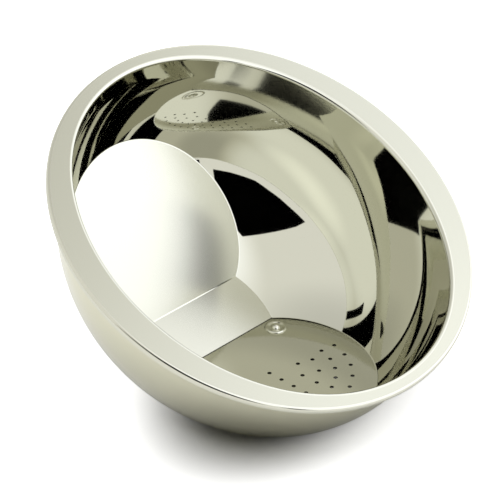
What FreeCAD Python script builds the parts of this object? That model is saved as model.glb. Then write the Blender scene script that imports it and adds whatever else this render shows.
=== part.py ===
"""A wash-and-drain bowl: one pressed steel shell with two tilted flats and a strip between them.
It stands on the drain feet under its holed flat, so the mouth leans towards +X.
The feet are riveted through the sheet, each with a dished washer under the rivet's head."""
import FreeCAD, Part
import math
import os

V = FreeCAD.Vector
UP = V(0, 0, 1)

# Shell, in millimetres and degrees, measured on its inside face
BRIM_RADIUS = 120.0
BRIM_END_WIDTH = 8.5
BRIM_GRIP_WIDTH = 18.6
BOWL_DEPTH = 101.2
WALL_UPRIGHT = 15.7
STRIP_INSET = 3.9
STRIP_HALF_WIDTH = 16.2
FLAT_TILT = 28.0
SHEET = 0.8
HEM_DROP = 3.0
HEM_BEND = 1.6
MOUTH_BEND = 1.5

# Drain holes: rings inside the circle of the feet, each with its holes spread over a fan
HOLE_DIAMETER = 2.4
RING_HOLES = (1, 1, 5, 7, 12, 13)
RING_FAN_HALF_ANGLES = (0, 0, 74, 73, 81, 81)
HOLE_FOOT_MARGIN = 1.5

# Drain feet, with the flat sheet left between each washer and the edges of the draining flat
FOOT_DIAMETER = 12.0
FOOT_HEIGHT = 4.5
FOOT_EDGE = 0.8
FOOT_WEB = 2.0
WASHER_TO_FAR_EDGE = 8.4
WASHER_TO_FOLD = 1.9
WASHER_TO_SIDE = 7.0

# Rivets and their dished washers
SHANK_DIAMETER = 3.0
SHANK_CLEARANCE = 0.1
RIVET_HEAD_DIAMETER = 5.6
RIVET_HEAD_HEIGHT = 1.8
RIVET_TAIL_DIAMETER = 4.8
RIVET_TAIL_HEIGHT = 1.2
TAIL_CLEARANCE = 0.6
WASHER_DIAMETER = 13.0
WASHER_SEAT_DIAMETER = 6.4
WASHER_SEAT_THICKNESS = 0.5
WASHER_CREST_HEIGHT = 1.3

# Worked out from the sizes above
TILT = math.radians(FLAT_TILT)
MOUTH_HALF_LENGTH = BRIM_RADIUS - BRIM_END_WIDTH
MOUTH_HALF_WIDTH = BRIM_RADIUS - BRIM_GRIP_WIDTH
WALL_ARC_RADIUS = BOWL_DEPTH - WALL_UPRIGHT + STRIP_INSET
ARC_CENTRE = V(MOUTH_HALF_LENGTH - WALL_ARC_RADIUS, 0, BOWL_DEPTH - WALL_UPRIGHT)
FLAT_HEIGHT = FOOT_HEIGHT + SHEET


def face_of(*curves):
    """A flat face bounded by lines and arcs given in order."""
    return Part.Face(Part.Wire([curve.toShape() for curve in curves]))


def line(start, end):
    return Part.LineSegment(start, end)


def turned(*curves):
    """The solid that a closed outline in the XZ plane makes when turned about Z."""
    return face_of(*curves).revolve(V(), UP, 360)


def oval_body(grow, top):
    """Belly and upright wall up to the height top, grown outwards by a sheet thickness or nothing."""
    reach = MOUTH_HALF_LENGTH + grow
    radius = WALL_ARC_RADIUS + grow
    bottom = ARC_CENTRE - UP * radius
    middle = ARC_CENTRE + V(radius * math.sin(math.pi / 4), 0, -radius * math.cos(math.pi / 4))
    side = ARC_CENTRE + V(radius, 0, 0)
    rim = V(reach, 0, top)
    solid = turned(
        line(V(0, 0, bottom.z), bottom),
        Part.Arc(bottom, middle, side),
        line(side, rim),
        line(rim, V(0, 0, top)),
        line(V(0, 0, top), V(0, 0, bottom.z)),
    )
    narrow = FreeCAD.Matrix()
    narrow.scale(1.0, (MOUTH_HALF_WIDTH + grow) / reach, 1.0)
    return solid.transformGeometry(narrow)


def above_flats(grow):
    """Everything above the strip and the two tilted flats, as a prism across the bowl."""
    fold = STRIP_HALF_WIDTH + grow * math.tan(TILT / 2)
    rise = BOWL_DEPTH + HEM_DROP
    run = rise / math.tan(TILT)
    half = 2 * BRIM_RADIUS
    corners = [
        V(-fold - run, -half, rise - grow),
        V(-fold, -half, -grow),
        V(fold, -half, -grow),
        V(fold + run, -half, rise - grow),
    ]
    return Part.Face(Part.makePolygon(corners + corners[:1])).extrude(V(0, 2 * half, 0))


def brim_disc():
    """Flat brim with its edge bent down, still closed over the mouth."""
    top = BOWL_DEPTH
    inner_bend = HEM_BEND - SHEET
    bend_centre = V(BRIM_RADIUS - HEM_BEND, 0, top - HEM_BEND)
    slant = V(math.sin(math.pi / 4), 0, math.cos(math.pi / 4))
    edge = V(BRIM_RADIUS, 0, top - HEM_DROP)
    edge_inside = V(BRIM_RADIUS - SHEET, 0, top - HEM_DROP)
    outer_start = bend_centre + UP * HEM_BEND
    outer_end = bend_centre + V(HEM_BEND, 0, 0)
    inner_start = bend_centre + V(inner_bend, 0, 0)
    inner_end = bend_centre + UP * inner_bend
    return turned(
        line(V(0, 0, top), outer_start),
        Part.Arc(outer_start, bend_centre + slant * HEM_BEND, outer_end),
        line(outer_end, edge),
        line(edge, edge_inside),
        line(edge_inside, inner_start),
        Part.Arc(inner_start, bend_centre + slant * inner_bend, inner_end),
        line(inner_end, V(0, 0, top - SHEET)),
        line(V(0, 0, top - SHEET), V(0, 0, top)),
    )


def mouth_edges(shape):
    """Edges where the brim's top face turns down into the wall."""
    return [
        edge for edge in shape.Edges
        if edge.BoundBox.ZMin > BOWL_DEPTH - SHEET / 4 and edge.BoundBox.ZMax < BOWL_DEPTH + SHEET / 4
        and math.hypot(*edge.valueAt(edge.FirstParameter)[:2]) < MOUTH_HALF_LENGTH + SHEET / 2
    ]


def pressed_shell():
    """The bowl standing upright on its strip, before any hole is punched."""
    outside = oval_body(SHEET, BOWL_DEPTH).common(above_flats(SHEET))
    inside = oval_body(0.0, BOWL_DEPTH + SHEET).common(above_flats(0.0))
    shell = outside.fuse(brim_disc()).cut(inside).removeSplitter()
    return shell.makeFillet(MOUTH_BEND, mouth_edges(shell))


def stand_on_feet(shell):
    """Lean the bowl until its draining flat is level, and centre it over the origin."""
    shell = shell.copy()
    shell.rotate(V(), V(0, 1, 0), FLAT_TILT)
    shell.translate(UP * (FLAT_HEIGHT + STRIP_HALF_WIDTH * math.sin(TILT)))
    box = shell.optimalBoundingBox(False)
    shift = -(box.XMin + box.XMax) / 2
    shell.translate(V(shift, 0, 0))
    return shell, shift + STRIP_HALF_WIDTH * math.cos(TILT)


def flat_length():
    """Length of the draining flat on the mirror plane, from the fold to where the wall's arc starts."""
    along = V(math.cos(TILT), 0, math.sin(TILT))
    back = V(STRIP_HALF_WIDTH, 0, 0) - ARC_CENTRE
    slope = back.dot(along)
    return math.sqrt(slope ** 2 - back.dot(back) + WALL_ARC_RADIUS ** 2) - slope


def flat_half_width(from_fold):
    """Half the draining flat's width at a distance from its fold: the oval wall's width there."""
    x = STRIP_HALF_WIDTH + from_fold * math.cos(TILT)
    drop = ARC_CENTRE.z - from_fold * math.sin(TILT)
    reach = ARC_CENTRE.x + math.sqrt(WALL_ARC_RADIUS ** 2 - drop ** 2)
    return math.sqrt(reach ** 2 - x ** 2) * MOUTH_HALF_WIDTH / MOUTH_HALF_LENGTH


def foot_places(fold_x):
    """Feet at the far edge and beside both ends of the fold, and the circle that they stand on."""
    washer_radius = WASHER_DIAMETER / 2
    far = flat_length() - washer_radius - WASHER_TO_FAR_EDGE
    near = washer_radius + WASHER_TO_FOLD
    side = flat_half_width(near) - washer_radius - WASHER_TO_SIDE
    middle = (far ** 2 - near ** 2 - side ** 2) / (2 * (far - near))
    feet = {
        "far": V(fold_x + far, 0, FLAT_HEIGHT),
        "left": V(fold_x + near, side, FLAT_HEIGHT),
        "right": V(fold_x + near, -side, FLAT_HEIGHT),
    }
    return feet, V(fold_x + middle, 0, FLAT_HEIGHT), far - middle


def hole_places(centre, circle_radius, feet):
    """Every drain hole's place, leaving out one that would open onto a foot."""
    reach = (max(FOOT_DIAMETER, WASHER_DIAMETER) + HOLE_DIAMETER) / 2 + HOLE_FOOT_MARGIN
    pitch = circle_radius / (len(RING_HOLES) - 1)
    places = []
    for ring, (count, fan) in enumerate(zip(RING_HOLES, RING_FAN_HALF_ANGLES)):
        for index in range(count):
            angle = math.radians(-fan + 2 * fan * index / max(count - 1, 1))
            place = centre + V(math.cos(angle), math.sin(angle), 0) * (ring * pitch)
            if all(place.distanceToPoint(foot) > reach for foot in feet):
                places.append(place)
    return places


def punched(shell, places, diameter):
    """The shell with a round hole through the draining flat at each place."""
    punches = [
        Part.makeCylinder(diameter / 2, 3 * SHEET, place - UP * (2 * SHEET)) for place in places
    ]
    return shell.cut(punches)


def foot(place):
    """Moulded drain foot: a puck with a web that the rivet grips and a pocket for the rivet's tail."""
    radius = FOOT_DIAMETER / 2
    bore = SHANK_DIAMETER / 2 + SHANK_CLEARANCE
    pocket = RIVET_TAIL_DIAMETER / 2 + TAIL_CLEARANCE
    web = FOOT_HEIGHT - FOOT_WEB
    solid = turned(
        line(V(bore, 0, web), V(pocket, 0, web)),
        line(V(pocket, 0, web), V(pocket, 0, 0)),
        line(V(pocket, 0, 0), V(radius - FOOT_EDGE, 0, 0)),
        line(V(radius - FOOT_EDGE, 0, 0), V(radius, 0, FOOT_EDGE)),
        line(V(radius, 0, FOOT_EDGE), V(radius, 0, FOOT_HEIGHT)),
        line(V(radius, 0, FOOT_HEIGHT), V(bore, 0, FOOT_HEIGHT)),
        line(V(bore, 0, FOOT_HEIGHT), V(bore, 0, web)),
    )
    solid.translate(V(place.x, place.y, 0))
    return solid


def washer(place):
    """Dished washer: a thin seat for the rivet's head inside a rounded raised ring."""
    bore = SHANK_DIAMETER / 2 + SHANK_CLEARANCE
    seat = WASHER_SEAT_DIAMETER / 2
    rim = WASHER_DIAMETER / 2
    seat_edge = V(seat, 0, WASHER_SEAT_THICKNESS)
    crest = V((seat + rim) / 2, 0, WASHER_CREST_HEIGHT)
    solid = turned(
        line(V(bore, 0, 0), V(bore, 0, WASHER_SEAT_THICKNESS)),
        line(V(bore, 0, WASHER_SEAT_THICKNESS), seat_edge),
        Part.Arc(seat_edge, crest, V(rim, 0, 0)),
        line(V(rim, 0, 0), V(bore, 0, 0)),
    )
    solid.translate(V(place.x, place.y, FLAT_HEIGHT))
    return solid


def rivet(place):
    """Domed rivet through washer, sheet and foot, with its tail spread inside the foot's pocket."""
    shank = SHANK_DIAMETER / 2
    head = RIVET_HEAD_DIAMETER / 2
    tail = RIVET_TAIL_DIAMETER / 2
    seat = FLAT_HEIGHT + WASHER_SEAT_THICKNESS
    web = FOOT_HEIGHT - FOOT_WEB
    dome_radius = (head ** 2 + RIVET_HEAD_HEIGHT ** 2) / (2 * RIVET_HEAD_HEIGHT)
    half_span = math.asin(min(1.0, head / dome_radius)) / 2
    dome_middle = V(
        dome_radius * math.sin(half_span),
        0,
        seat + RIVET_HEAD_HEIGHT - dome_radius * (1 - math.cos(half_span)),
    )
    solid = turned(
        line(V(0, 0, web - RIVET_TAIL_HEIGHT), V(tail, 0, web - RIVET_TAIL_HEIGHT)),
        line(V(tail, 0, web - RIVET_TAIL_HEIGHT), V(tail, 0, web)),
        line(V(tail, 0, web), V(shank, 0, web)),
        line(V(shank, 0, web), V(shank, 0, seat)),
        line(V(shank, 0, seat), V(head, 0, seat)),
        Part.Arc(V(head, 0, seat), dome_middle, V(0, 0, seat + RIVET_HEAD_HEIGHT)),
        line(V(0, 0, seat + RIVET_HEAD_HEIGHT), V(0, 0, web - RIVET_TAIL_HEIGHT)),
    )
    solid.translate(V(place.x, place.y, 0))
    return solid


def main():
    shell, fold_x = stand_on_feet(pressed_shell())
    feet, ring_centre, circle_radius = foot_places(fold_x)
    drains = hole_places(ring_centre, circle_radius, feet.values())
    shell = punched(shell, drains, HOLE_DIAMETER)
    shell = punched(shell, feet.values(), SHANK_DIAMETER + 2 * SHANK_CLEARANCE)
    parts = {"bowl_shell": shell}
    for name, place in feet.items():
        parts["drain_foot_" + name] = foot(place)
        parts["foot_washer_" + name] = washer(place)
        parts["foot_rivet_" + name] = rivet(place)
    os.makedirs("parts", exist_ok=True)
    for name, shape in parts.items():
        shape.exportStep("parts/" + name + ".step")
        box = shape.optimalBoundingBox(False)
        print(name, "solids", len(shape.Solids), "valid", shape.isValid(), "volume", round(shape.Volume, 1))
        print("  from", [round(v, 2) for v in (box.XMin, box.YMin, box.ZMin)],
              "to", [round(v, 2) for v in (box.XMax, box.YMax, box.ZMax)])
    print("drain holes", len(drains), "fold at x", round(fold_x, 2))
    print("foot circle radius", round(circle_radius, 2), "about x", round(ring_centre.x, 2))


main()
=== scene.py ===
# %% [markdown]
# # A wash-and-drain bowl
# The object is a thin steel bowl with a flat round brim and three flats pressed into its bottom.
# It stands on three small feet under the holed flat, so its mouth leans forward.
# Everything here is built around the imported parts, in their frame.

# %% Load the frame
import math

import bpy
import numpy as np
from mathutils import Matrix, Vector
from mathutils.geometry import delaunay_2d_cdt


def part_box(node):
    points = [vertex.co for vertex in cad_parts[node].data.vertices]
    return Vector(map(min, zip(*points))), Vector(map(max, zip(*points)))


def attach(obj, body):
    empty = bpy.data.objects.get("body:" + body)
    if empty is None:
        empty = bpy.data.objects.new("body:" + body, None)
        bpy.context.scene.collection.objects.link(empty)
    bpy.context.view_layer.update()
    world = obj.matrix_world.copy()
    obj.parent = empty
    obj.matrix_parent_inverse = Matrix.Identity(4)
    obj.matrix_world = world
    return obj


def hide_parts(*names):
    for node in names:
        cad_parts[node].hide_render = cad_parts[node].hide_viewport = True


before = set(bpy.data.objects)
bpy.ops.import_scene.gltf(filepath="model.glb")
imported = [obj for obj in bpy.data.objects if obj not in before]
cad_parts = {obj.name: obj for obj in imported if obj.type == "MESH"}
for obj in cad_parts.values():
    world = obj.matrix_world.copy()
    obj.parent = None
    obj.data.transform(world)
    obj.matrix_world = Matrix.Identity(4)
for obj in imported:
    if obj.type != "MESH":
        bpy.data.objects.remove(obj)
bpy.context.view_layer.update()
print("parts loaded:", sorted(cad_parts))

# %% [markdown]
# ## Sizes
# These sizes, in millimetres, repeat the ones that the solids were made from, but for the bends, which are
# rounder here or added. In a press, thin sheet takes bends of about two to three times its thickness.

# %% Sizes of the shell
MM = 0.001
BRIM_RADIUS = 120.0
MOUTH_HALF_LENGTH = BRIM_RADIUS - 8.5
MOUTH_HALF_WIDTH = BRIM_RADIUS - 18.6
BOWL_DEPTH = 101.2
WALL_UPRIGHT = 15.7
STRIP_INSET = 3.9
STRIP_HALF_WIDTH = 16.2
TILT = math.radians(28.0)
SHEET = 0.8
HEM_DROP = 3.0
HEM_BEND = 1.6
MOUTH_BEND = 2.2
CREASE_BEND = 1.3
FOLD_BEND = 1.6
HOLE_RADIUS = 1.2
SHANK_HOLE_RADIUS = 1.6
WASHER_RADIUS = 6.5
WASHER_TO_FOLD = 1.9
FOOT_HEIGHT = 4.5
RING_HOLES = (1, 1, 5, 7, 12, 13)
RING_FAN_HALF_ANGLES = (0, 0, 74, 73, 81, 81)
HOLE_FOOT_CLEARANCE = 1.5

WALL_ARC_RADIUS = BOWL_DEPTH - WALL_UPRIGHT + STRIP_INSET
ARC_CENTRE_RHO = MOUTH_HALF_LENGTH - WALL_ARC_RADIUS
ARC_CENTRE_Z = BOWL_DEPTH - WALL_UPRIGHT
SQUEEZE = MOUTH_HALF_WIDTH / MOUTH_HALF_LENGTH
FLAT_HEIGHT = FOOT_HEIGHT + SHEET
print("wall arc radius:", round(WALL_ARC_RADIUS, 1), "height of the holed flat:", FLAT_HEIGHT)


# %% [markdown]
# The bowl is easiest to describe upright, standing on its strip. Each point is then turned by the tilt
# about Y, which brings the holed flat level, and moved onto the feet, whose places the frame gives.

# %% Feet and lean
def foot_centre(name):
    """Middle of a drain foot in plan, in millimetres, from its box in the frame."""
    low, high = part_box("drain_foot_" + name)
    return (np.array(low) + np.array(high))[:2] / 2 / MM


FEET = {name: foot_centre(name) for name in ("far", "left", "right")}
FOLD_X = FEET["left"][0] - WASHER_RADIUS - WASHER_TO_FOLD
for name, place in FEET.items():
    print("foot", name, "at", place.round(2).tolist())
print("fold at", round(FOLD_X, 2))


def lean_directions(vectors):
    """A turn by the tilt about Y, with no move."""
    x, y, z = vectors[..., 0], vectors[..., 1], vectors[..., 2]
    along = x * math.cos(TILT) + z * math.sin(TILT)
    return np.stack([along, y, z * math.cos(TILT) - x * math.sin(TILT)], -1)


def lean(points):
    """Upright bowl to its leaning place: the same turn, then a move onto the feet."""
    turned = lean_directions(points)
    along = turned[..., 0] + (FOLD_X - STRIP_HALF_WIDTH * math.cos(TILT))
    height = turned[..., 2] + FLAT_HEIGHT + STRIP_HALF_WIDTH * math.sin(TILT)
    return np.stack([along, turned[..., 1], height], -1)


# %% [markdown]
# ## The pressed shell
# On the real bowl one disc of sheet is drawn into an oval wall, and the flats are struck into its belly.
# A bevel on a boolean would give uneven strips along these creases, and a mirror finish shows every one
# of them. So the shell is one grid instead: stations go round the bowl, rows go from the middle of the
# bottom out over crease, wall and brim, round the hem and back underneath. Each bend is an exact arc, and
# each point keeps the normal of the surface that it lies on.

# %% Wall and bottom as formulas
def unit(vectors):
    """Vectors scaled to length 1."""
    return vectors / np.linalg.norm(vectors, axis=-1, keepdims=True)


def wall(turn, fall):
    """Oval wall. rho = centre + R cos(fall), z = centre - R sin(fall); straight up where fall is negative.
    x = rho cos(turn), y = squeeze * rho sin(turn). Gives points and normals into the bowl."""
    bend = np.maximum(fall, 0.0)
    rho = ARC_CENTRE_RHO + WALL_ARC_RADIUS * np.cos(bend)
    z = ARC_CENTRE_Z - WALL_ARC_RADIUS * np.where(fall > 0, np.sin(bend), fall)
    points = np.stack([rho * np.cos(turn), SQUEEZE * rho * np.sin(turn), z], -1)
    aside = np.cos(bend) * np.sin(turn) / SQUEEZE
    outward = np.stack([np.cos(bend) * np.cos(turn), aside, -np.sin(bend)], -1)
    return points, -unit(outward)


FOLD_START = STRIP_HALF_WIDTH - FOLD_BEND * math.tan(TILT / 2)
FOLD_END = FOLD_START + FOLD_BEND * math.sin(TILT)


def bottom_slope(x):
    """Slope angle of the bottom at x: 0 on the strip, the tilt on both flats, an arc at each fold."""
    return np.arcsin(np.clip((np.abs(x) - FOLD_START) / FOLD_BEND, 0.0, math.sin(TILT)))


def bottom_height(x):
    """Height of the bottom at x: strip, fold arc and tilted flat, the same on both sides."""
    slope = bottom_slope(x)
    past_fold = np.maximum(np.abs(x) - FOLD_END, 0.0)
    return FOLD_BEND * (1 - np.cos(slope)) + past_fold * math.tan(TILT)


def bottom_normal(x):
    """Upward unit normal of the bottom at x."""
    slope = bottom_slope(x)
    return np.stack([-np.sign(x) * np.sin(slope), np.zeros_like(x), np.cos(slope)], -1)


def nearest_on_bottom(points):
    """Distance to the bottom, and the foot of that distance, for points above it."""
    x, z = np.abs(points[..., 0]), points[..., 2]
    angle = np.arctan2(x - FOLD_START, FOLD_BEND - z)
    to_arc = FOLD_BEND - np.hypot(x - FOLD_START, FOLD_BEND - z)
    to_flat = z * math.cos(TILT) - (x - STRIP_HALF_WIDTH) * math.sin(TILT)
    on_strip = angle <= 0
    on_arc = (angle > 0) & (angle < TILT)
    distance = np.where(on_strip, z, np.where(on_arc, to_arc, to_flat))
    slope = np.clip(angle, 0.0, TILT)
    down = np.stack([np.sign(points[..., 0]) * np.sin(slope), np.zeros_like(x), -np.cos(slope)], -1)
    return distance, points + distance[..., None] * down


print("folds from", round(FOLD_START, 2), "to", round(FOLD_END, 2), "on both sides of the middle")

# %% [markdown]
# Where the wall meets the bottom, the press leaves a small round bend. A ball of the bend's radius that
# touches both gives its middle: for each station the place on the wall is found by halving an interval.

# %% Stations and crease
STATIONS = 432
CORNER_CROWDING = 5.0
CORNER_SPREAD = 0.05
FINE_STATIONS = 7200
FALL_LOW = 0.05
FALL_HIGH = 1.5
HALVINGS = 48


def crease(turn):
    """Wall fall, ball centre and foot on the bottom where a ball of the crease's radius touches both."""
    low, high = np.full_like(turn, FALL_LOW), np.full_like(turn, FALL_HIGH)
    for _ in range(HALVINGS):
        fall = (low + high) / 2
        points, normals = wall(turn, fall)
        clear = nearest_on_bottom(points + CREASE_BEND * normals)[0] > CREASE_BEND
        low, high = np.where(clear, fall, low), np.where(clear, high, fall)
    points, normals = wall(turn, fall)
    centre = points + CREASE_BEND * normals
    return fall, centre, nearest_on_bottom(centre)[1]


def station_turns():
    """Angles round the bowl, crowded near the four corners where a fold runs into the wall."""
    fine = np.linspace(-math.pi, math.pi, FINE_STATIONS, endpoint=False)
    foot = np.abs(crease(fine)[2][:, 0])
    corners = fine[:-1][(foot[:-1] - STRIP_HALF_WIDTH) * (foot[1:] - STRIP_HALF_WIDTH) <= 0]
    gaps = np.abs((fine[:, None] - corners[None, :] + math.pi) % (2 * math.pi) - math.pi)
    density = 1 + CORNER_CROWDING * np.exp(-(gaps / CORNER_SPREAD) ** 2).sum(1)
    share = np.cumsum(density) / density.sum()
    return np.interp((np.arange(STATIONS) + 0.5) / STATIONS, share, fine)


turns = station_turns()
crease_fall, ball_centre, crease_foot = crease(turns)
print("crease reaches x from", crease_foot[:, 0].min().round(1), "to", crease_foot[:, 0].max().round(1))

# %% [markdown]
# The top face is a stack of rows, from the middle of the strip to the edge of the hem. Flat parts need
# few rows. Bends need more, because a mirror shows a coarse bend at once.

# %% Rows of the bottom and the crease
STRIP_ROWS = 8
FOLD_ROWS = 7
FLAT_ROWS = 8
CREASE_ROWS = 7
TINY = 1e-9


def bottom_rows():
    """Straight rows in plan from the axis to the crease, with rows kept on both edges of a fold."""
    reach = np.maximum(np.abs(crease_foot[:, 0]), TINY)
    arc = FOLD_START + FOLD_BEND * np.sin(np.linspace(0, TILT, FOLD_ROWS))
    at_fold = np.minimum(arc[:, None] / reach, 1.0)
    to_fold = np.linspace(0, 1, STRIP_ROWS, endpoint=False)[:, None] * at_fold[0]
    past = at_fold[-1] + np.linspace(0, 1, FLAT_ROWS + 1)[1:, None] * (1 - at_fold[-1])
    share = np.concatenate([to_fold, at_fold, past])
    x, y = share * crease_foot[:, 0], share * crease_foot[:, 1]
    return np.stack([x, y, bottom_height(x)], -1), bottom_normal(x)


def crease_rows():
    """Arc of the ball from its foot on the bottom to its touch on the wall, ends left out."""
    start = unit(crease_foot - ball_centre)
    end = unit(wall(turns, crease_fall)[0] - ball_centre)
    angle = np.arccos(np.clip((start * end).sum(-1), -1, 1))[:, None]
    steps = np.linspace(0, 1, CREASE_ROWS + 1)[1:-1]
    rays = [(np.sin((1 - s) * angle) * start + np.sin(s * angle) * end) / np.sin(angle) for s in steps]
    rays = np.stack(rays)
    return ball_centre + CREASE_BEND * rays, -rays


bottom_part = bottom_rows()
crease_part = crease_rows()
print("rows of the bottom:", len(bottom_part[0]), "of the crease:", len(crease_part[0]))

# %% Rows of the wall and the mouth
WALL_ROWS = 46
MOUTH_ROWS = 7
WALL_TOP = -(WALL_UPRIGHT - MOUTH_BEND) / WALL_ARC_RADIUS


def wall_rows():
    """From the crease up the wall to the start of the mouth's bend."""
    steps = np.linspace(0, 1, WALL_ROWS)[:, None]
    return wall(turns[None, :], crease_fall + steps * (WALL_TOP - crease_fall))


def mouth_rows():
    """Quarter arc from the upright wall over to the flat brim."""
    points, normals = wall(turns, np.full_like(turns, WALL_TOP))
    centre = points - MOUTH_BEND * normals
    angle = np.linspace(0, math.pi / 2, MOUTH_ROWS + 1)[1:, None, None]
    rays = np.cos(angle) * normals + np.sin(angle) * np.array([0, 0, 1.0])
    return centre + MOUTH_BEND * rays, rays


wall_part = wall_rows()
mouth_part = mouth_rows()
print("rows of the wall:", len(wall_part[0]), "of the mouth's bend:", len(mouth_part[0]))

# %% Rows of the brim and the hem
BRIM_ROWS = 5
HEM_ROWS = 7


def brim_and_hem_rows(mouth_edge):
    """Flat brim out to the hem, a quarter arc down, and the short upright edge."""
    around = unit(mouth_edge * np.array([1, 1, 0.0]))
    up = np.broadcast_to(np.array([0, 0, 1.0]), around.shape)
    inner = np.linalg.norm(mouth_edge[:, :2], axis=1)[:, None]
    flat_end = BRIM_RADIUS - HEM_BEND
    points, normals = [], []
    for share in np.linspace(0, 1, BRIM_ROWS + 1)[1:]:
        points.append(around * (inner + share * (flat_end - inner)) + up * BOWL_DEPTH)
        normals.append(up)
    for angle in np.linspace(0, math.pi / 2, HEM_ROWS + 1)[1:]:
        ray = math.sin(angle) * around + math.cos(angle) * up
        points.append(around * flat_end + up * (BOWL_DEPTH - HEM_BEND) + HEM_BEND * ray)
        normals.append(ray)
    points.append(around * BRIM_RADIUS + up * (BOWL_DEPTH - HEM_DROP))
    normals.append(around)
    return np.stack(points), np.stack(normals)


parts = [bottom_part, crease_part, wall_part, mouth_part, brim_and_hem_rows(mouth_part[0][-1])]
top_points = np.concatenate([p for p, n in parts])
top_normals = np.concatenate([n for p, n in parts])
BOTTOM_ROW_COUNT = len(bottom_part[0])
INNER_ROWS = sum(len(p) for p, n in parts[:4])
print("rows on the top face:", len(top_points), "of which inside the brim:", INNER_ROWS)

# %% [markdown]
# The sheet has one thickness everywhere, so the underside is the top face moved down along its normals.
# A half circle joins the two at the cut edge, and the grid is closed.

# %% Hem edge and underside
EDGE_ROWS = 4


def edge_rows():
    """Half circle round the cut edge of the sheet, ends left out."""
    centre = top_points[-1] - top_normals[-1] * SHEET / 2
    angle = np.linspace(0, math.pi, EDGE_ROWS + 2)[1:-1, None, None]
    rays = np.cos(angle) * top_normals[-1] - np.sin(angle) * np.array([0, 0, 1.0])
    return centre + SHEET / 2 * rays, rays


edge_points, edge_normals = edge_rows()
under_points = (top_points - SHEET * top_normals)[::-1]
grid_points = np.concatenate([top_points, edge_points, under_points])
grid_normals = np.concatenate([top_normals, edge_normals, -top_normals[::-1]])
ROWS = len(grid_points)
print("closed grid of", ROWS, "rows by", STATIONS, "stations")

# %% [markdown]
# ## Drain holes
# The holes are punched through the lower flat, in rings about the middle of the circle that the feet
# stand on. A flat patch with round holes is what a constrained triangulation is for: the patch's edge and
# each hole are given as loops, and the triangles between them are all in one plane, so they can't spoil
# the mirror.

# %% Places of the holes
def feet_circle():
    """Middle and radius of the circle through the three feet, on the mirror plane."""
    far, near = FEET["far"], FEET["left"]
    middle = (far[0] ** 2 - near @ near) / (2 * (far[0] - near[0]))
    return middle, far[0] - middle


def drain_holes():
    """Hole centres in plan: rings at an even pitch, each hole row spread over its fan, none on a foot."""
    middle, radius = feet_circle()
    pitch = radius / (len(RING_HOLES) - 1)
    places = []
    for ring, (count, fan) in enumerate(zip(RING_HOLES, RING_FAN_HALF_ANGLES)):
        angles = np.radians(np.linspace(-fan, fan, count)) if count > 1 else np.zeros(1)
        out = ring * pitch
        places.append(np.stack([middle + out * np.cos(angles), out * np.sin(angles)], -1))
    places = np.concatenate(places)
    gaps = np.linalg.norm(places[:, None] - np.stack(list(FEET.values()))[None], axis=-1).min(1)
    return places[gaps > WASHER_RADIUS + HOLE_RADIUS + HOLE_FOOT_CLEARANCE]


drains = drain_holes()
holes = [(place, HOLE_RADIUS) for place in drains]
holes += [(place, SHANK_HOLE_RADIUS) for place in FEET.values()]
print("drain holes:", len(drains))

# %% [markdown]
# Four neighbouring points of the grid make one face. The cells of the holed flat are left out, above and
# below, because the patch with the holes takes their place.

# %% Faces of the grid
NEARLY = 1e-6
first_flat_row = STRIP_ROWS + FOLD_ROWS - 1
last_flat_row = BOTTOM_ROW_COUNT - 1
drain_stations = np.flatnonzero(crease_foot[:, 0] > FOLD_END + NEARLY)
assert np.all(np.diff(drain_stations) == 1)


def grid_index(row, station):
    """Number of a point of the grid; the stations close to a ring."""
    return row * STATIONS + station % STATIONS


def grid_faces():
    """Quads of the closed grid, each turning outwards, without the cells of the holed flat."""
    row, station = np.meshgrid(np.arange(ROWS - 1), np.arange(STATIONS), indexing="ij")
    flat_rows = (row >= first_flat_row) & (row < last_flat_row)
    under_rows = (row >= ROWS - 1 - last_flat_row) & (row < ROWS - 1 - first_flat_row)
    holed = (station >= drain_stations[0]) & (station < drain_stations[-1])
    keep = ~((flat_rows | under_rows) & holed)
    row, station = row[keep], station[keep]
    corners = [grid_index(row, station), grid_index(row + 1, station),
               grid_index(row + 1, station + 1), grid_index(row, station + 1)]
    return np.stack(corners, -1), row, station


faces, face_rows, face_stations = grid_faces()
print("grid faces:", len(faces))

# %% [markdown]
# The patch takes its edge from the grid, so that no gap opens between them. Loose points in between keep
# its triangles even.

# %% Edge, holes and loose points of the holed flat
HOLE_SIDES = 28
FILL_PITCH = 5.0
HEX_ROW = 0.87


def flat_loop():
    """Grid vertices round the holed flat: along the crease, then back along the fold."""
    first, last = drain_stations[0], drain_stations[-1]
    rows = np.arange(first_flat_row, last_flat_row + 1)
    crease_side = grid_index(last_flat_row, np.arange(first, last))
    down = grid_index(rows[::-1], last)[:-1]
    fold_side = grid_index(first_flat_row, np.arange(last, first, -1))
    back = grid_index(rows, first)[:-1]
    return np.concatenate([crease_side, down, fold_side, back])


def fill_points(loop_plan):
    """A loose hexagonal spread of points inside the flat, clear of its edge and of the holes."""
    low, high = loop_plan.min(0), loop_plan.max(0)
    across = np.arange(low[0], high[0], FILL_PITCH)
    x, y = np.meshgrid(across, np.arange(low[1], high[1], FILL_PITCH * HEX_ROW))
    x = x + FILL_PITCH / 2 * (np.arange(len(x)) % 2)[:, None]
    spots = np.stack([x.ravel(), y.ravel()], -1)
    from_edge = np.linalg.norm(spots[:, None] - loop_plan[None], axis=-1).min(1)
    from_hole = np.min([np.linalg.norm(spots - place, axis=1) - radius for place, radius in holes], axis=0)
    edges = np.roll(loop_plan, -1, 0) - loop_plan
    aside = spots[:, None] - loop_plan[None]
    inside = (edges[None, :, 0] * aside[..., 1] - edges[None, :, 1] * aside[..., 0] > -NEARLY).all(1)
    return spots[(from_edge > FILL_PITCH / 2) & (from_hole > FILL_PITCH / 3) & inside]


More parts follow.
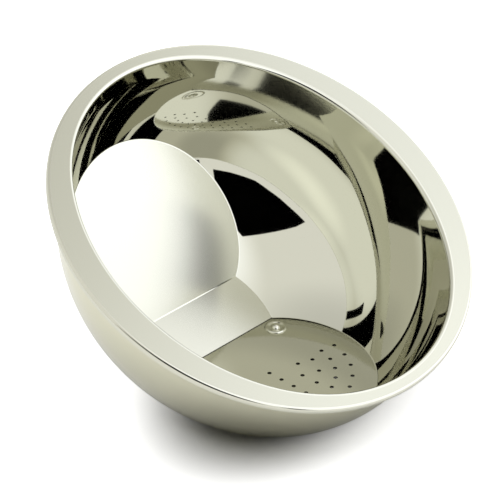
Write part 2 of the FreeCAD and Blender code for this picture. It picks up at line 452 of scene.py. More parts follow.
loop = flat_loop()
leaned = lean(grid_points).reshape(-1, 3)
loop_plan = leaned[loop][:, :2]
circle = np.linspace(0, 2 * math.pi, HOLE_SIDES, endpoint=False)
hole_rims = [place + radius * np.stack([np.cos(circle), np.sin(circle)], -1) for place, radius in holes]
fill = fill_points(loop_plan)
plan = np.concatenate([loop_plan] + hole_rims + [fill])
print("points on the edge:", len(loop), "loose points:", len(fill))

# %% Triangles of the holed flat
CDT_INSIDE = 1
CDT_TOLERANCE = 1e-7


def ring_edges(start, count):
    """Edges of a closed loop of points, as pairs of numbers."""
    index = np.arange(count)
    return np.stack([start + index, start + (index + 1) % count], -1)


constraints = [ring_edges(0, len(loop))]
constraints += [ring_edges(len(loop) + k * HOLE_SIDES, HOLE_SIDES) for k in range(len(holes))]
flat_result = delaunay_2d_cdt(
    [Vector(p) for p in plan.tolist()], np.concatenate(constraints).tolist(), [], CDT_INSIDE, CDT_TOLERANCE)
print("flat patch:", len(flat_result[2]), "triangles from", len(plan), "points")

# %% [markdown]
# ## From arrays to a mesh
# Grid, patch and hole walls share their vertices, so the shell is closed like the real sheet. Points that
# fall together, as at the middle and where a fold runs out, are merged as whole arrays. The known normals
# are then given to the mesh, so that a mirror shows the true surface and not its triangles.

# %% Patch and hole walls
flat_up = lean_directions(bottom_normal(np.array([2 * STRIP_HALF_WIDTH])))[0]
grid_total = ROWS * STATIONS
extra_plan = plan[len(loop):]
extra_top = np.column_stack([extra_plan, np.full(len(extra_plan), FLAT_HEIGHT)])
extra_under = extra_top - SHEET * flat_up
top_numbers = np.concatenate([loop, grid_total + np.arange(len(extra_plan))])
loop_row, loop_station = np.divmod(loop, STATIONS)
under_loop = grid_index(ROWS - 1 - loop_row, loop_station)
under_numbers = np.concatenate([under_loop, grid_total + len(extra_plan) + np.arange(len(extra_plan))])


def patch_triangles():
    """Triangles of the flat outside its holes, all turning the same way seen from above."""
    origin = np.array([min(sources) for sources in flat_result[3]])
    triangles = origin[np.array([face for face in flat_result[2] if len(face) == 3])]
    middle = plan[triangles].mean(1)
    in_hole = np.zeros(len(triangles), bool)
    for place, radius in holes:
        in_hole |= np.linalg.norm(middle - place, axis=1) < radius * math.cos(math.pi / HOLE_SIDES)
    triangles = triangles[~in_hole]
    a, b, c = plan[triangles[:, 0]], plan[triangles[:, 1]], plan[triangles[:, 2]]
    turn = (b - a)[:, 0] * (c - a)[:, 1] - (b - a)[:, 1] * (c - a)[:, 0]
    return np.where((turn > 0)[:, None], triangles, triangles[:, ::-1])


def hole_walls():
    """Quads down each hole, facing its axis."""
    rim = grid_total + np.arange(len(holes) * HOLE_SIDES).reshape(len(holes), HOLE_SIDES)
    ahead, under = np.roll(rim, -1, 1), len(extra_plan)
    return np.stack([rim, ahead, ahead + under, rim + under], -1).reshape(-1, 4)


patch = patch_triangles()
patch_top = top_numbers[patch]
patch_under = under_numbers[patch][:, ::-1]
walls = hole_walls()
all_points = np.concatenate([leaned, extra_top, extra_under])
all_normals = np.concatenate([
    lean_directions(grid_normals).reshape(-1, 3),
    np.broadcast_to(flat_up, extra_top.shape), np.broadcast_to(-flat_up, extra_under.shape)])
to_axis = np.zeros_like(all_points)
rays = -np.stack([np.cos(circle), np.sin(circle), np.zeros_like(circle)], -1)
rim_numbers = grid_total + np.arange(len(holes) * HOLE_SIDES)
to_axis[rim_numbers] = np.tile(rays, (len(holes), 1))
to_axis[rim_numbers + len(extra_plan)] = np.tile(rays, (len(holes), 1))
print("patch triangles:", len(patch), "faces of hole walls:", len(walls))

# %% Merge points and sort out collapsed faces
MERGE_DISTANCE = 1e-4


def merged(points):
    """First vertex at each place, and for every vertex the number of the one it becomes."""
    keys = np.round(points / MERGE_DISTANCE).astype(np.int64)
    _, first, inverse = np.unique(keys, axis=0, return_index=True, return_inverse=True)
    return first, inverse.ravel()


def tidy_faces(quads, numbers):
    """Quads after merging: whole ones, and triangles where one side has closed up."""
    q = numbers[quads]
    same = q == np.roll(q, -1, 1)
    across = (q[:, 0] == q[:, 2]) | (q[:, 1] == q[:, 3])
    whole = ~same.any(1) & ~across
    closed = (same.sum(1) == 1) & ~across
    side = same[closed].argmax(1)
    picks = (side[:, None] + np.array([1, 2, 3])) % 4
    return q[whole], np.take_along_axis(q[closed], picks, 1), whole, closed


first, number = merged(all_points)
whole_quads, closed_tris, whole, closed = tidy_faces(faces, number)
print("points before merging:", len(all_points), "and after:", len(first))


# %% Write the shell
def write_mesh(name, points, polygons, normals=None):
    """A mesh object at the origin from points in millimetres and a list of faces."""
    mesh = bpy.data.meshes.new(name)
    mesh.from_pydata((points * MM).tolist(), [], polygons)
    mesh.validate(clean_customdata=False)
    mesh.polygons.foreach_set("use_smooth", np.ones(len(mesh.polygons), bool))
    if normals is not None:
        mesh.normals_split_custom_set(normals.tolist())
    piece = bpy.data.objects.new(name, mesh)
    bpy.context.scene.collection.objects.link(piece)
    return piece


face_groups = [whole_quads, closed_tris, number[patch_top], number[patch_under], number[walls]]
used, compact = np.unique(np.concatenate([group.ravel() for group in face_groups]), return_inverse=True)
polygons, corner_vertices, cursor = [], [], 0
for group in face_groups:
    renumbered = compact[cursor:cursor + group.size].reshape(group.shape)
    cursor += group.size
    polygons += renumbered.tolist()
    corner_vertices.append(renumbered.ravel())
shell_points = all_points[first][used]
shell_normals = all_normals[first][used]
shell_to_axis = to_axis[first][used]
corner_normals = np.concatenate(
    [shell_normals[corners] for corners in corner_vertices[:-1]] + [shell_to_axis[corner_vertices[-1]]])
shell = write_mesh("bowl_shell_sheet", shell_points, polygons, corner_normals)
print("shell:", len(shell.data.vertices), "vertices", len(shell.data.polygons), "faces")

# %% [markdown]
# The finish of such a bowl can follow the tools that reach it: a buffing wheel for wall and hem, the bare
# press for flats, a brush turned round the axis for brim and outside. So row and station of a face tell
# its finish.

# %% Finish of each face
# Hole walls and the fold beside the holed flat get painted shade, not the finish of a tool.
MIRROR, PRESSED, BRIM, STRIP, DRAIN, OUTSIDE, HOLE_WALL_PAINTED_SHADE, FOLD_PAINTED_SHADE = range(8)


def finish_of_faces(row, station):
    """Strip, folds, flats up to the crease, mirror wall and mouth bend, satin brim, polished hem, brushed
    outside. The fold beside the holed flat carries painted shade: a dark line painted along it."""
    fold = np.where(crease_foot[station, 0] > 0, FOLD_PAINTED_SHADE, DRAIN)
    bottom = np.where(row < STRIP_ROWS, STRIP, np.where(row < first_flat_row, fold, PRESSED))
    inside = np.where(row < BOTTOM_ROW_COUNT - 1, bottom, MIRROR)
    hem = np.where(row < len(top_points) + EDGE_ROWS, DRAIN, OUTSIDE)
    outside = np.where(row < INNER_ROWS + BRIM_ROWS - 1, BRIM, hem)
    return np.where(row < INNER_ROWS - 1, inside, outside)


finish_number = np.concatenate([
    finish_of_faces(face_rows[whole], face_stations[whole]),
    finish_of_faces(face_rows[closed], face_stations[closed]),
    np.full(len(patch_top), DRAIN), np.full(len(patch_under), OUTSIDE), np.full(len(walls), HOLE_WALL_PAINTED_SHADE)])
print("faces of each finish:", np.bincount(finish_number).tolist())

# %% [markdown]
# ## Feet, washers and rivets
# These are turned or moulded round pieces, so each is a profile carried once round its own axis.
# A rivet goes down through washer, sheet and foot, and its tail is spread in a pocket of the foot.

# %% Sizes of the turned pieces
TURN_STEPS = 72
SHARP_ANGLE = math.radians(40)
SEAT_THICKNESS = 0.5
SEAT_HEIGHT = FLAT_HEIGHT + SEAT_THICKNESS
HEAD_RADIUS = 2.8
HEAD_HEIGHT = 1.8
HEAD_STEPS = 12
SHANK_RADIUS = 1.5
TAIL_RADIUS = 2.4
TAIL_HEIGHT = 1.2
WASHER_RING_HEIGHT = 1.3
WASHER_ROUNDNESS = 0.6
WASHER_SEAT_RADIUS = 3.2
WASHER_STEPS = 20
FOOT_RADIUS = 6.0
FOOT_WEB = 2.0
POCKET_RADIUS = 3.0
POCKET_HEIGHT = FOOT_HEIGHT - FOOT_WEB
SOLE_BEND = 0.9
SMALL_BEND = 0.3
print("rivets sit at height", SEAT_HEIGHT, "and their tails end at", POCKET_HEIGHT - TAIL_HEIGHT)


# %% Profiles
def rounded(corners, steps=6):
    """A profile from (radius, height, corner radius) points, each corner replaced by an arc."""
    points = []
    for k, (r, z, bend) in enumerate(corners):
        here = np.array([r, z], float)
        if bend == 0 or k in (0, len(corners) - 1):
            points.append(here)
            continue
        back = unit(np.array(corners[k - 1][:2], float) - here)
        ahead = unit(np.array(corners[k + 1][:2], float) - here)
        half = math.acos(float(np.clip(back @ ahead, -1, 1))) / 2
        middle = here + unit(back + ahead) * bend / math.sin(half)
        start = here + back * bend / math.tan(half) - middle
        end = here + ahead * bend / math.tan(half) - middle
        sweep = math.acos(float(np.clip(unit(start) @ unit(end), -1, 1)))
        for s in np.linspace(0, 1, steps):
            ray = math.sin((1 - s) * sweep) * start + math.sin(s * sweep) * end
            points.append(middle + ray / math.sin(sweep))
    return np.array(points)


def rivet_profile():
    """Spread tail, shank and domed head, from the axis below to the axis above."""
    dome = (HEAD_RADIUS ** 2 + HEAD_HEIGHT ** 2) / (2 * HEAD_HEIGHT)
    lift = np.linspace(math.asin(HEAD_RADIUS / dome), 0, HEAD_STEPS)
    tail_end = POCKET_HEIGHT - TAIL_HEIGHT
    low = rounded([(0, tail_end, 0), (TAIL_RADIUS, tail_end, SMALL_BEND),
                   (TAIL_RADIUS, POCKET_HEIGHT, SMALL_BEND / 2), (SHANK_RADIUS, POCKET_HEIGHT, 0),
                   (SHANK_RADIUS, SEAT_HEIGHT, 0), (HEAD_RADIUS, SEAT_HEIGHT, 0)])
    top = np.stack([dome * np.sin(lift), SEAT_HEIGHT + HEAD_HEIGHT - dome * (1 - np.cos(lift))], -1)
    return np.concatenate([low, top[1:]])


def washer_profile():
    """Flat underside, rounded raised ring and a thin seat dished in its middle."""
    ring = np.linspace(0, 1, WASHER_STEPS)
    radius = WASHER_RADIUS + ring * (WASHER_SEAT_RADIUS - WASHER_RADIUS)
    bulge = WASHER_RING_HEIGHT * np.sin(math.pi * ring) ** WASHER_ROUNDNESS * (1 - ring)
    height = FLAT_HEIGHT + bulge + SEAT_THICKNESS * ring
    low = np.array([[SHANK_HOLE_RADIUS, SEAT_HEIGHT], [SHANK_HOLE_RADIUS, FLAT_HEIGHT]])
    return np.concatenate([low, np.stack([radius, height], -1), low[:1]])


def foot_profile():
    """Moulded puck with rounded edges and a pocket round the rivet's tail."""
    return rounded([(SHANK_HOLE_RADIUS, FOOT_HEIGHT, 0), (SHANK_HOLE_RADIUS, POCKET_HEIGHT, 0),
                    (POCKET_RADIUS, POCKET_HEIGHT, SMALL_BEND), (POCKET_RADIUS, 0, SMALL_BEND),
                    (FOOT_RADIUS, 0, SOLE_BEND), (FOOT_RADIUS, FOOT_HEIGHT, SMALL_BEND),
                    (SHANK_HOLE_RADIUS, FOOT_HEIGHT, 0)])


print("points of the profiles:", len(rivet_profile()), len(washer_profile()), len(foot_profile()))


# %% Turned pieces
def ring_quads(rings, steps):
    """Quads between neighbouring rings of points, each ring with the same number of steps."""
    ring, step = np.meshgrid(np.arange(rings - 1), np.arange(steps), indexing="ij")
    here, ahead = ring * steps + step, ring * steps + (step + 1) % steps
    return np.stack([here, ahead, ahead + steps, here + steps], -1).reshape(-1, 4)


def turned_piece(name, profile, centre, cad_node):
    """Profile of (radius, height) points carried round an upright axis; ends on the axis close up."""
    angle = np.linspace(0, 2 * math.pi, TURN_STEPS, endpoint=False)
    x = centre[0] + profile[:, 0, None] * np.cos(angle)
    y = centre[1] + profile[:, 0, None] * np.sin(angle)
    z = np.broadcast_to(profile[:, 1, None], x.shape)
    points = np.stack([x, y, z], -1).reshape(-1, 3)
    first, number = merged(points)
    whole, closed, _, _ = tidy_faces(ring_quads(len(profile), TURN_STEPS), number)
    piece = write_mesh(name, points[first], whole.tolist() + closed.tolist())
    piece.data.set_sharp_from_angle(angle=SHARP_ANGLE)
    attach(piece, "root")
    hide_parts(cad_node)
    return piece


steel_pieces, rubber_feet = [], []
for name, place in FEET.items():
    steel_pieces += [
        turned_piece("rivet_" + name, rivet_profile(), place, "foot_rivet_" + name),
        turned_piece("washer_" + name, washer_profile(), place, "foot_washer_" + name)]
    rubber_feet += [turned_piece("foot_" + name, foot_profile(), place, "drain_foot_" + name)]
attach(shell, "root")
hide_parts("bowl_shell")
print("turned pieces:", len(steel_pieces) + len(rubber_feet))

# %% [markdown]
# ## Finishes
# All the steel is the same sheet, only polished differently: a mirror on the wall, a softer shine on the
# pressed flats, satin rings on the brim and outside. Hole walls and the fold beside the holed flat are
# painted dark instead, as painted shade. Three effects are shared and are node groups: the slow waves that
# polishing leaves in a mirror, the fine rings of a turning brush, and a fine grain for what is left matt.

# %% Nodes, and the polish waves
def node(tree, kind, **settings):
    """A new shader node, with settings such as the operation of a Math node."""
    made = tree.nodes.new("ShaderNode" + kind)
    for name, value in settings.items():
        setattr(made, name, value)
    return made


def put(made, values):
    """Constant values straight onto the input sockets of a node."""
    for socket, value in values.items():
        made.inputs[socket].default_value = value


def new_material(name):
    """A material with nodes, and its node tree."""
    material = bpy.data.materials.new(name)
    material.use_nodes = True
    return material, material.node_tree


def link(start, output, end, socket):
    """A wire from an output of one node to an input of another."""
    start.id_data.links.new(start.outputs[output], end.inputs[socket])


def effect(name, socket, kind):
    """An empty node group with one output."""
    tree = bpy.data.node_groups.new(name, "ShaderNodeTree")
    tree.interface.new_socket(socket, in_out="OUTPUT", socket_type=kind)
    return tree, tree.nodes.new("NodeGroupOutput")


WAVE_SCALE = 26.0
WAVE_DEPTH = 0.00016


def polish_waves():
    """Slow dents of less than a tenth of a millimetre over some centimetres, as a normal."""
    tree, out = effect("polish_waves", "Normal", "NodeSocketVector")
    where = node(tree, "TexCoord")
    noise = node(tree, "TexNoise")
    bump = node(tree, "Bump")
    put(noise, {"Scale": WAVE_SCALE, "Detail": 1.0})
    put(bump, {"Strength": 1.0, "Distance": WAVE_DEPTH})
    link(where, "Object", noise, "Vector")
    link(noise, "Fac", bump, "Height")
    link(bump, "Normal", out, "Normal")
    return tree


WAVES = polish_waves()
print("effect:", WAVES.name)

# %% Brush rings
RING_SCALE = 1800.0
BOWL_AXIS = lean_directions(np.array([0.0, 0.0, 1.0]))
AXIS_FOOT = lean(np.array([0.0, 0.0, 0.0])) * MM


def brush_rings():
    """Fine rings round the bowl's axis, from 0 to 1: noise over the distance from the axis and along it."""
    tree, out = effect("brush_rings", "Rings", "NodeSocketFloat")
    where = node(tree, "TexCoord")
    offset = node(tree, "VectorMath", operation="SUBTRACT")
    along = node(tree, "VectorMath", operation="DOT_PRODUCT")
    aside = node(tree, "VectorMath", operation="CROSS_PRODUCT")
    radius = node(tree, "VectorMath", operation="LENGTH")
    both = node(tree, "Math", operation="SUBTRACT")
    rings = node(tree, "TexNoise", noise_dimensions="1D")
    put(offset, {1: AXIS_FOOT})
    put(along, {1: BOWL_AXIS})
    put(aside, {1: BOWL_AXIS})
    put(rings, {"Scale": RING_SCALE, "Detail": 3.0})
    link(where, "Object", offset, 0)
    link(offset, "Vector", along, 0)
    link(offset, "Vector", aside, 0)
    link(aside, "Vector", radius, 0)
    link(radius, "Value", both, 0)
    link(along, "Value", both, 1)
    link(both, "Value", rings, "W")
    link(rings, "Fac", out, "Rings")
    return tree


RINGS = brush_rings()
print("effect:", RINGS.name)

# %% Fine grain
GRAIN_SCALE = 1600.0
NOISE_LOW = 0.3
NOISE_HIGH = 0.7


def fine_grain():
    """Even fine speckle from 0 to 1: noise with grains of about half a millimetre, stretched in range."""
    tree, out = effect("fine_grain", "Grain", "NodeSocketFloat")
    where = node(tree, "TexCoord")
    noise = node(tree, "TexNoise")
    stretch = node(tree, "MapRange")
    put(noise, {"Scale": GRAIN_SCALE, "Detail": 2.0})
    put(stretch, {"From Min": NOISE_LOW, "From Max": NOISE_HIGH})
    link(where, "Object", noise, "Vector")
    link(noise, "Fac", stretch, "Value")
    link(stretch, "Result", out, "Grain")
    return tree


GRAIN = fine_grain()
print("effect:", GRAIN.name)

# %% [markdown]
# Stainless steel is a metal with a slightly warm grey colour. Each polished or satin finish is close to it,
# with a roughness of its own, and satin is darker. Hole walls and the fold beside the holed flat are painted
# much darker: painted shade for the holes, and a painted dark line along that fold.

# %% Colours and roughness
STEEL_TINT = (0.59, 0.585, 0.495)
SATIN_TINT = (0.48, 0.475, 0.39)
OUTSIDE_TINT = (0.60, 0.59, 0.455)
# Painted shade: the hole walls are rough cut edges painted near black, which stands in for the shade inside
# the holes.
HOLE_PAINTED_SHADE_DARK = (0.045, 0.042, 0.035)
PAINTED_SHADE_MIDDLE = (0.10, 0.095, 0.08)
# Painted shade: the fold beside the holed flat is painted dark, as a dark line along the crease.
FOLD_PAINTED_SHADE_LIGHT = (0.16, 0.155, 0.13)
RUBBER_DARK = (0.022, 0.022, 0.021)
RUBBER_LIGHT = (0.040, 0.039, 0.037)
METAL = 1.0
NOT_METAL = 0.0
MIRROR_ROUGHNESS = 0.03
DRAIN_ROUGHNESS = 0.08
RIVET_ROUGHNESS = 0.10
FLAT_TO_EYE = 0.26
FLAT_IN_MIRROR = 0.05
STRIP_IN_MIRROR = 0.13
BRIM_ROUGHNESS = (0.31, 0.37)
OUTSIDE_ROUGHNESS = (0.15, 0.18)
PUNCHED_ROUGHNESS = (0.4, 0.6)
FOLD_ROUGHNESS = (0.2, 0.3)
RUBBER_ROUGHNESS = (0.55, 0.75)
PRESS_MARKS = 0.006
GRAIN_DEPTH = 0.00004
print("steel colour:", STEEL_TINT, "from roughness", MIRROR_ROUGHNESS, "to", PUNCHED_ROUGHNESS[1])


# %% Mirror and satin steel
def steel(name, colour, roughness):
    """Plain metal of one colour and roughness."""
    material, tree = new_material(name)
    values = {"Base Color": (*colour, 1), "Metallic": METAL, "Roughness": roughness}
    put(tree.nodes["Principled BSDF"], values)
    return material


def add_effect(material, tree):
    """A node that brings a shared effect into a material."""
    return node(material.node_tree, "Group", node_tree=tree)


def mirror(name, roughness):
    """Polished steel with slow waves in its reflection."""
    material = steel(name, STEEL_TINT, roughness)
    waves = add_effect(material, WAVES)
    link(waves, "Normal", material.node_tree.nodes["Principled BSDF"], "Normal")
    return material


def satin(name, colour, low, high):
    """Brushed steel: the rings move its roughness between two values."""
    material = steel(name, colour, low)
    tree = material.node_tree
    rings = add_effect(material, RINGS)
    spread = node(tree, "MapRange")
    put(spread, {"From Min": NOISE_LOW, "From Max": NOISE_HIGH, "To Min": low, "To Max": high})
    link(rings, "Rings", spread, "Value")
    link(spread, "Result", tree.nodes["Principled BSDF"], "Roughness")
    return material


rivet_finish = mirror("rivet_steel", RIVET_ROUGHNESS)
finishes = {
    MIRROR: mirror("mirror_steel", MIRROR_ROUGHNESS),
    DRAIN: mirror("drain_steel", DRAIN_ROUGHNESS),
    BRIM: satin("brim_steel", SATIN_TINT, *BRIM_ROUGHNESS),
    OUTSIDE: satin("outside_steel", OUTSIDE_TINT, *OUTSIDE_ROUGHNESS),
}
print("mirror and satin finishes of the shell:", len(finishes))


# %% Pressed flats
def pressed(name, to_eye, in_mirror):
    """A pressed flat: its grain moves the roughness by a little about one value for camera rays, and about a
    lower one for rays that come from the mirror wall. That second value is a choice for the looks."""
    material = steel(name, STEEL_TINT, to_eye)
    tree = material.node_tree
    grain = add_effect(material, GRAIN)
    path = node(tree, "LightPath")
    pick = node(tree, "MapRange")
    marks = node(tree, "Math", operation="MULTIPLY_ADD")
    put(pick, {"To Min": in_mirror, "To Max": to_eye})
    put(marks, {1: PRESS_MARKS})
    link(path, "Is Camera Ray", pick, "Value")
    link(grain, "Grain", marks, 0)
    link(pick, "Result", marks, 2)
    link(marks, "Value", tree.nodes["Principled BSDF"], "Roughness")
    return material


finishes[PRESSED] = pressed("pressed_steel", FLAT_TO_EYE, FLAT_IN_MIRROR)
finishes[STRIP] = pressed("strip_steel", FLAT_TO_EYE, STRIP_IN_MIRROR)
print("pressed:", finishes[PRESSED].name, finishes[STRIP].name)


# %% Matt surfaces
def grained(name, dark, light, low, high, metallic):
    """A matt surface: the grain moves its colour and roughness, and stands up as a fine bump."""
    material = steel(name, dark, low)
    tree = material.node_tree
    shader = tree.nodes["Principled BSDF"]
    put(shader, {"Metallic": metallic})
    grain = add_effect(material, GRAIN)
    colour = node(tree, "Mix", data_type="RGBA")
    spread = node(tree, "MapRange")
    bump = node(tree, "Bump")
    put(colour, {"A": (*dark, 1), "B": (*light, 1)})
    put(spread, {"To Min": low, "To Max": high})
    put(bump, {"Distance": GRAIN_DEPTH})
    link(grain, "Grain", colour, "Factor")
    link(grain, "Grain", spread, "Value")
    link(grain, "Grain", bump, "Height")
    link(colour, "Result", shader, "Base Color")
    link(spread, "Result", shader, "Roughness")
    link(bump, "Normal", shader, "Normal")
    return material


# Painted shade: hole walls painted near black for the shade inside the holes.
finishes[HOLE_WALL_PAINTED_SHADE] = grained("hole_wall_painted_shade", HOLE_PAINTED_SHADE_DARK, PAINTED_SHADE_MIDDLE, *PUNCHED_ROUGHNESS, METAL)
# Painted shade: a dark line painted along the fold beside the holed flat.
finishes[FOLD_PAINTED_SHADE] = grained("fold_painted_shade", PAINTED_SHADE_MIDDLE, FOLD_PAINTED_SHADE_LIGHT, *FOLD_ROUGHNESS, METAL)
foot_finish = grained("foot_rubber", RUBBER_DARK, RUBBER_LIGHT, *RUBBER_ROUGHNESS, NOT_METAL)
print("matt:", finishes[HOLE_WALL_PAINTED_SHADE].name, finishes[FOLD_PAINTED_SHADE].name, foot_finish.name)

# %% Give each piece its finish
for finish in sorted(finishes):
    shell.data.materials.append(finishes[finish])
shell.data.polygons.foreach_set("material_index", finish_number.astype(np.int32))
for piece in steel_pieces:
    piece.data.materials.append(rivet_finish)
for piece in rubber_feet:
    piece.data.materials.append(foot_finish)
print("finishes of the shell:", [material.name for material in shell.data.materials])

# %% [markdown]
# ## Camera
# The round brim is an ellipse in the photo, and that ellipse gives the direction that the bowl is seen
# from. The values below were fitted so that brim, mouth and folds fall on their places in the photo.

# %% Camera
VIEW_TURN = math.radians(43.77)
VIEW_DROP = math.radians(31.68)
VIEW_DISTANCE = 1520.6
VIEW_ASIDE = -16.04
VIEW_ABOVE = -53.96
FOCAL_PIXELS = 2736.7
PHOTO_PIXELS = 500.0
SENSOR = 36.0
NEAR_CLIP = 0.05
FAR_CLIP = 50

right = np.array([math.cos(VIEW_TURN), math.sin(VIEW_TURN), 0])
level_ahead = np.array([-math.sin(VIEW_TURN), math.cos(VIEW_TURN), 0])
ahead = math.cos(VIEW_DROP) * level_ahead - math.sin(VIEW_DROP) * np.array([0, 0, 1.0])
above = np.cross(right, ahead)
aim = np.array([FOLD_X, 0, FLAT_HEIGHT])
eye = aim - VIEW_DISTANCE * ahead - VIEW_ASIDE * right - VIEW_ABOVE * above
camera_data = bpy.data.cameras.new("photo_camera")
camera_data.sensor_width = SENSOR
camera_data.lens = FOCAL_PIXELS / PHOTO_PIXELS * SENSOR
camera_data.clip_start = NEAR_CLIP
camera_data.clip_end = FAR_CLIP
camera = bpy.data.objects.new("photo_camera", camera_data)
bpy.context.scene.collection.objects.link(camera)
turn = Matrix((right, above, -ahead)).transposed().to_4x4()
camera.matrix_world = Matrix.Translation(eye * MM) @ turn
bpy.context.scene.camera = camera
print("camera at", eye.round(1).tolist(), "with a lens of", round(camera_data.lens, 1), "mm")

# %% [markdown]
# ## A light tent
# The polish in the photo shows white nearly everywhere, as it would in a small white tent, so the scene
# has one. The black shapes are taken as one dark gap in the tent and one dark post, seen once or several
# times in the steel. The tent is a glowing dome that the camera looks through. It stands close to the
# bowl, which matters: its light changes across the brim although the brim is flat.

# %% Levels and outlines of the tent
TENT_RADIUS = 500.0
TENT_CENTRE = np.array([0.0, 0.0, 60.0])
TENT_LEVEL = 1.1
PLAIN_CLOTH = (1.0, 1.0, 0.98)
BRIGHT_CLOTH = (0.97, 0.99, 1.06)
COOL_RANGE = 0.6
BRIGHT_SIDES = (
    {"azimuth": 178, "elevation": 20, "edge": 0.58, "core": 0.98, "level": 0.66},
    {"azimuth": 108, "elevation": 32, "edge": 0.62, "core": 0.92, "level": 0.72},
    {"azimuth": -95, "elevation": 58, "edge": 0.72, "core": 0.98, "level": -0.26},
)
GAP_CORNERS = (
    (6, 26), (12, 32), (26, 40), (46, 47.5), (58, 50),
    (66, 34), (65, 15), (64, 2),
    (53, 4), (38, 8.5), (24, 16),
)
POST_CORNERS = ((72, -6), (72, 13), (81, 14), (81, -6))
CARD_INSET = 0.97
DOME_STEPS = 72
DOME_RINGS = 26
DOME_LOW = -6.8
DOME_TOP = 90


def direction(azimuth, elevation):
    """Unit vector towards a place in the studio: azimuth 0 is the -Y side, elevation is above the floor."""
    a, e = np.radians(azimuth), np.radians(elevation)
    return np.stack(np.broadcast_arrays(np.sin(a) * np.cos(e), -np.cos(a) * np.cos(e), np.sin(e)), -1)


print("tent levels:", TENT_LEVEL, [round(TENT_LEVEL + side["level"], 2) for side in BRIGHT_SIDES])


# %% Dome
def hide_from_camera(piece):
    """Make a stage piece that camera rays and shadow rays pass through."""
    piece.visible_camera = False
    piece.visible_shadow = False


def tent_dome():
    """Dome over the bowl, with rings by elevation and steps by azimuth."""
    azimuth = np.linspace(-180, 180, DOME_STEPS, endpoint=False)
    elevation = np.linspace(DOME_LOW, DOME_TOP, DOME_RINGS)
    points = TENT_CENTRE + TENT_RADIUS * direction(azimuth[None, :], elevation[:, None])
    first, number = merged(points.reshape(-1, 3))
    whole, closed, _, _ = tidy_faces(ring_quads(DOME_RINGS, DOME_STEPS), number)
    dome = write_mesh("tent_dome", points.reshape(-1, 3)[first], whole.tolist() + closed.tolist())
    hide_from_camera(dome)
    return dome


dome = tent_dome()
dome.visible_diffuse = False
print("dome:", len(dome.data.polygons), "faces")


# %% Cloth of the tent
def side_level(tree, place, side):
    """Added level towards one side: a smooth step of the cosine between the place and that side."""
    towards = node(tree, "VectorMath", operation="DOT_PRODUCT")
    level = node(tree, "MapRange", interpolation_type="SMOOTHSTEP")
    put(towards, {1: direction(side["azimuth"], side["elevation"]) / (TENT_RADIUS * MM)})
    put(level, {"From Min": side["edge"], "From Max": side["core"], "To Min": 0.0, "To Max": side["level"]})
    tree.links.new(place, towards.inputs[0])
    link(towards, "Value", level, "Value")
    return level.outputs["Result"]


def cloth_colour(tree, level):
    """Warm white at the plain level, turning cool where the cloth is brighter."""
    cool = node(tree, "MapRange")
    colour = node(tree, "Mix", data_type="RGBA")
    put(cool, {"From Min": TENT_LEVEL, "From Max": TENT_LEVEL + COOL_RANGE})
    put(colour, {"A": (*PLAIN_CLOTH, 1), "B": (*BRIGHT_CLOTH, 1)})
    tree.links.new(level, cool.inputs["Value"])
    link(cool, "Result", colour, "Factor")
    return colour.outputs["Result"]


def without_diffuse(tree, level):
    """The level for paths with no diffuse bounce, and 0 for the others, which keeps shadows deep."""
    path = node(tree, "LightPath")
    direct = node(tree, "Math", operation="LESS_THAN")
    strength = node(tree, "Math", operation="MULTIPLY")
    put(direct, {1: 0.5})
    link(path, "Diffuse Depth", direct, 0)
    link(direct, 0, strength, 0)
    tree.links.new(level, strength.inputs[1])
    return strength.outputs[0]


def tent_material():
    """Glowing cloth: the plain level plus the added level of each side."""
    material, tree = new_material("tent_cloth")
    tree.nodes.clear()
    where = node(tree, "TexCoord")
    offset = node(tree, "VectorMath", operation="SUBTRACT")
    glow = node(tree, "Emission")
    out = node(tree, "OutputMaterial")
    put(offset, {1: TENT_CENTRE * MM})
    link(where, "Object", offset, 0)
    total = None
    for side in BRIGHT_SIDES:
        add = node(tree, "Math")
        put(add, {1: TENT_LEVEL})
        tree.links.new(side_level(tree, offset.outputs["Vector"], side), add.inputs[0])
        if total is not None:
            tree.links.new(total, add.inputs[1])
        total = add.outputs[0]
    tree.links.new(cloth_colour(tree, total), glow.inputs["Color"])
    tree.links.new(without_diffuse(tree, total), glow.inputs["Strength"])
    link(glow, 0, out, "Surface")
    return material


dome.data.materials.append(tent_material())
print("cloth:", dome.data.materials[0].name)


# %% Gap and post
def black_card(name, corners):
    """A black shape just inside the tent, from corners given as azimuth and elevation."""
    corners = np.array(corners, float)
    points = TENT_CENTRE + CARD_INSET * TENT_RADIUS * direction(corners[:, 0], corners[:, 1])
    card = write_mesh(name, points, [list(range(len(points)))])
    paint, tree = new_material(name)
    put(tree.nodes["Principled BSDF"], {"Base Color": (0, 0, 0, 1), "Specular IOR Level": 0})
    card.data.materials.append(paint)
    hide_from_camera(card)
    return card


gap = black_card("tent_gap", GAP_CORNERS)
post = black_card("tent_post", POST_CORNERS)
print("black cards:", gap.name, post.name)

# %% [markdown]
# ## Floor and backdrop
# The floor is pale card. A glow added to it makes the background white: a strong one for the camera, and
# a weak one for rays that come from the steel, which then shows a pale floor too. The glow fades out in
# an oval under the bowl, drawn to follow the shadow in the photo.

# %% Floor
FLOOR_SIZE = 8.0
FLOOR_COLOUR = (0.85, 0.85, 0.85, 1)
FLOOR_ROUGHNESS = 0.8
FLOOR_LIFT = 0.9
FLOOR_LIFT_IN_STEEL = 0.25
# The oval of a painted shadow on the floor: the glow is left out here, on top of the lamp's real shadow.
DARK_MIDDLE = (0.012, 0.004, 0.0)
DARK_HALF_SIZES = (0.095, 0.058, 1.0)
DARK_TURN = math.radians(-72.3)
DARK_EDGE = 0.58
DARK_END = 1.38


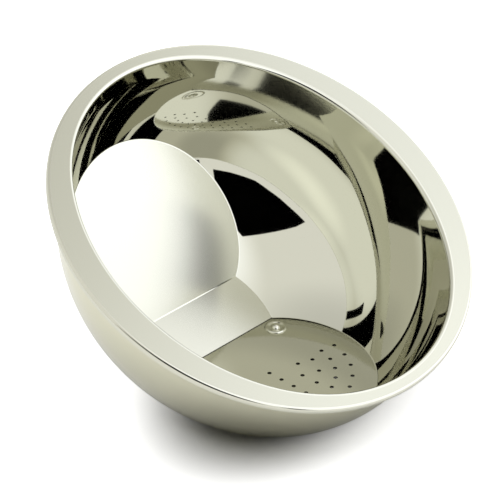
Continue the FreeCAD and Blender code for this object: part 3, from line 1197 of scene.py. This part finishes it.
# Painted shadow: in this oval the floor loses its glow, which darkens it under the bowl beyond the lamp's
# own shadow.
def outside_painted_shadow(tree):
    """0 in the oval under the bowl, rising smoothly to 1 outside it."""
    where = node(tree, "TexCoord")
    oval = node(tree, "Mapping", vector_type="TEXTURE")
    away = node(tree, "VectorMath", operation="LENGTH")
    fade = node(tree, "MapRange", interpolation_type="SMOOTHSTEP")
    put(oval, {"Location": DARK_MIDDLE, "Rotation": (0, 0, DARK_TURN), "Scale": DARK_HALF_SIZES})
    put(fade, {"From Min": DARK_EDGE, "From Max": DARK_END})
    link(where, "Object", oval, "Vector")
    link(oval, "Vector", away, 0)
    link(away, "Value", fade, "Value")
    return fade.outputs["Result"]


def lift_by_ray(tree):
    """Level of the floor's glow for camera rays, for glossy and transmission rays, and 0 for the rest."""
    path = node(tree, "LightPath")
    bounced = node(tree, "Math", operation="MAXIMUM")
    level = node(tree, "Math", operation="MULTIPLY")
    seen = node(tree, "Math", operation="MULTIPLY_ADD")
    put(level, {1: FLOOR_LIFT_IN_STEEL})
    put(seen, {1: FLOOR_LIFT})
    link(path, "Is Glossy Ray", bounced, 0)
    link(path, "Is Transmission Ray", bounced, 1)
    link(bounced, "Value", level, 0)
    link(path, "Is Camera Ray", seen, 0)
    link(level, "Value", seen, 2)
    return seen.outputs["Value"]


def floor_material():
    """Matt card with the glow added."""
    paint, tree = new_material("floor_card")
    card = tree.nodes["Principled BSDF"]
    put(card, {"Base Color": FLOOR_COLOUR, "Roughness": FLOOR_ROUGHNESS, "Specular IOR Level": 0.0})
    lift = node(tree, "Math", operation="MULTIPLY")
    glow = node(tree, "Emission")
    both = node(tree, "AddShader")
    tree.links.new(lift_by_ray(tree), lift.inputs[0])
    tree.links.new(outside_painted_shadow(tree), lift.inputs[1])
    link(lift, "Value", glow, "Strength")
    link(card, "BSDF", both, 0)
    link(glow, "Emission", both, 1)
    link(both, "Shader", tree.nodes["Material Output"], "Surface")
    return paint


half = FLOOR_SIZE / 2 / MM
corners = np.array([[-half, -half, 0], [half, -half, 0], [half, half, 0], [-half, half, 0]])
floor = write_mesh("floor", corners, [[0, 1, 2, 3]])
floor.data.materials.append(floor_material())
print("floor:", FLOOR_SIZE, "metres wide")

# %% World
BACKDROP = (1.0, 1.0, 1.0, 1)
BACKDROP_LEVEL = 1.0
FILL_LEVEL = 0.1


def backdrop_world():
    """White for camera rays; a low even fill for the rest. Glossy rays are left to the tent."""
    world = bpy.data.worlds.new("backdrop")
    world.use_nodes = True
    tree = world.node_tree
    background = tree.nodes["Background"]
    path = node(tree, "LightPath")
    level = node(tree, "MapRange")
    put(background, {"Color": BACKDROP})
    put(level, {"To Min": FILL_LEVEL, "To Max": BACKDROP_LEVEL})
    link(path, "Is Camera Ray", level, "Value")
    link(level, "Result", background, "Strength")
    return world


bpy.context.scene.world = backdrop_world()
bpy.context.scene.world.cycles_visibility.glossy = False
print("backdrop:", bpy.context.scene.world.name)

# %% [markdown]
# ## Lamp
# One wide lamp hangs over the bowl and gives the floor its soft shadow. Its level is plain: the card
# renders about as its colour is written. The steel doesn't show the lamp, because the tent is what it
# mirrors.

# %% Ceiling lamp
LAMP_SIZE = 1.4
LAMP_ENERGY = 15.4
LAMP_PLACE = (0.05, -0.15, 1.0)

lamp_data = bpy.data.lights.new("ceiling", "AREA")
lamp_data.shape = "DISK"
lamp_data.size = LAMP_SIZE
lamp_data.energy = LAMP_ENERGY
lamp = bpy.data.objects.new("ceiling", lamp_data)
bpy.context.scene.collection.objects.link(lamp)
lamp.location = LAMP_PLACE
lamp.visible_glossy = False
lamp.visible_camera = False
bpy.context.scene.view_settings.view_transform = "Standard"
print("lamp at", LAMP_PLACE, "with", LAMP_ENERGY, "watts")
